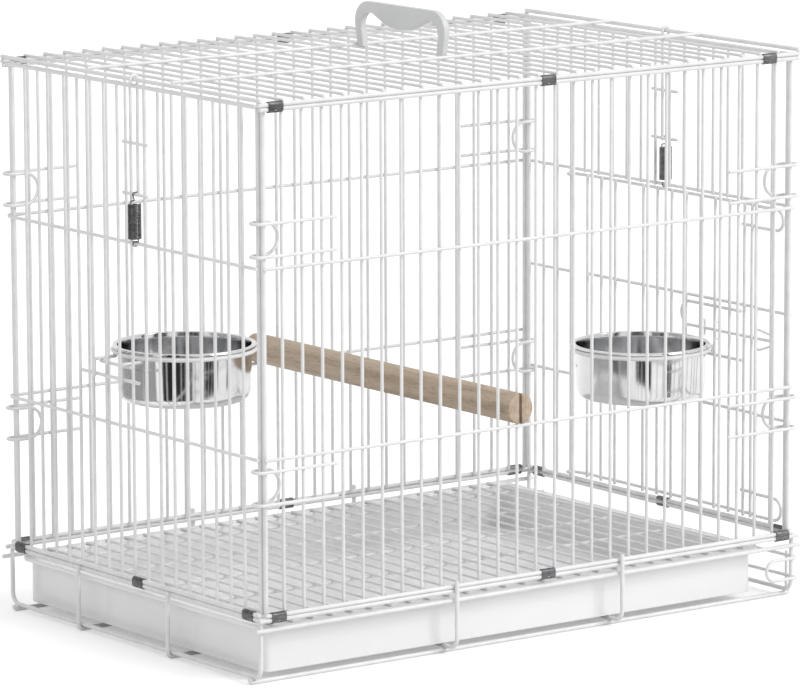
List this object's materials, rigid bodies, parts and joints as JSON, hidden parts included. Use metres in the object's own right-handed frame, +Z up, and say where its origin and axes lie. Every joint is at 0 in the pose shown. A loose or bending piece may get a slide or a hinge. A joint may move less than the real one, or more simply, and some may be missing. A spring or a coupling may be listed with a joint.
{
  "type": "bird cage",
  "caption": "Collapsible box-shaped wire cage for small birds: side door, hung bowls, perch, slide-out tray, tray gate and a top handle.",
  "frame": {"origin": "centre of the plan box, on the ground", "axes": "+X towards the end panel with the side door, +Y towards the back panel, +Z up"},
  "size_m": [0.494, 0.3318, 0.4431],
  "materials": {
    "white_wire": "white powder coat, satin",
    "clip_steel": "bare rolled strip, dull",
    "spring_steel": "dark oiled spring wire",
    "tray_plastic": "smooth, slightly glossy",
    "handle_plastic": "satin",
    "beech": "sanded, unvarnished",
    "bowl_steel": "polished stainless steel"
  },
  "bodies": {
    "cage": {"base_frame": "white_wire", "base_end_frames": "white_wire", "tray_cross_wires": "white_wire", "tray_runner_wires": "white_wire", "front_panel": "white_wire", "back_panel": "white_wire", "top_panel": "white_wire", "front_corner_hooks": "white_wire", "back_corner_hooks": "white_wire", "handle": "handle_plastic", "top_front_clips": "clip_steel", "top_back_clips": "clip_steel", "bottom_front_clips": "clip_steel", "bottom_back_clips": "clip_steel", "bottom_left_clips": "clip_steel", "bottom_right_clips": "clip_steel"},
    "left_end": {"left_end_panel": "white_wire", "left_latch_spring": "spring_steel", "food_bowl_holder": "white_wire"},
    "right_end": {"right_end_panel": "white_wire", "right_latch_spring": "spring_steel", "door_bolt_keeper": "white_wire"},
    "left_latch": {"left_latch": "white_wire"},
    "right_latch": {"right_latch": "white_wire"},
    "side_door": {"side_door": "white_wire", "door_bolt_guides": "white_wire", "water_bowl_holder": "white_wire"},
    "door_bolt": {"door_bolt": "white_wire"},
    "food_bowl": {"food_bowl": "bowl_steel"},
    "water_bowl": {"water_bowl": "bowl_steel"},
    "tray": {"tray": "tray_plastic"},
    "floor_grate": {"floor_grate": "white_wire"},
    "tray_gate": {"tray_gate": "white_wire"},
    "perch": {"perch": "beech"}
  },
  "joints": [
    {"name": "left_end_fold", "type": "hinge", "parent": "cage", "child": "left_end", "pos_m": [-0.2406, 0, 0.0496], "axis": [0, 1, 0], "range_deg": [0, 29]},
    {"name": "right_end_fold", "type": "hinge", "parent": "cage", "child": "right_end", "pos_m": [0.2406, 0, 0.0496], "axis": [0, -1, 0], "range_deg": [0, 43]},
    {"name": "left_latch_lift", "type": "slide", "parent": "left_end", "child": "left_latch", "axis": [0, 0, 1], "range_m": [0, 0.008], "stiffness_N_per_m": 500, "springref_m": -0.004, "deforming": ["left_latch_spring"]},
    {"name": "right_latch_lift", "type": "slide", "parent": "right_end", "child": "right_latch", "axis": [0, 0, 1], "range_m": [0, 0.008], "stiffness_N_per_m": 500, "springref_m": -0.004, "deforming": ["right_latch_spring"]},
    {"name": "side_door_swing", "type": "hinge", "parent": "right_end", "child": "side_door", "pos_m": [0.238, 0.102, 0], "axis": [0, 0, 1], "range_deg": [0, 100]},
    {"name": "door_bolt_slide", "type": "slide", "parent": "side_door", "child": "door_bolt", "axis": [0, 1, 0], "range_m": [0, 0.016]},
    {"name": "food_bowl_lift", "type": "slide", "parent": "left_end", "child": "food_bowl", "axis": [0, 0, 1], "range_m": [0, 0.06]},
    {"name": "water_bowl_lift", "type": "slide", "parent": "side_door", "child": "water_bowl", "axis": [0, 0, 1], "range_m": [0, 0.06]},
    {"name": "tray_slide", "type": "slide", "parent": "cage", "child": "tray", "axis": [1, 0, 0], "range_m": [0, 0.026]},
    {"name": "floor_grate_lift", "type": "slide", "parent": "tray", "child": "floor_grate", "axis": [0, 0, 1], "range_m": [0, 0.015]},
    {"name": "tray_gate_swing", "type": "hinge", "parent": "cage", "child": "tray_gate", "pos_m": [0.2406, 0.1579, 0], "axis": [0, 0, 1], "range_deg": [0, 110]},
    {"name": "perch_lift", "type": "slide", "parent": "cage", "child": "perch", "axis": [0, 0, 1], "range_m": [0, 0.1]}
  ]
}
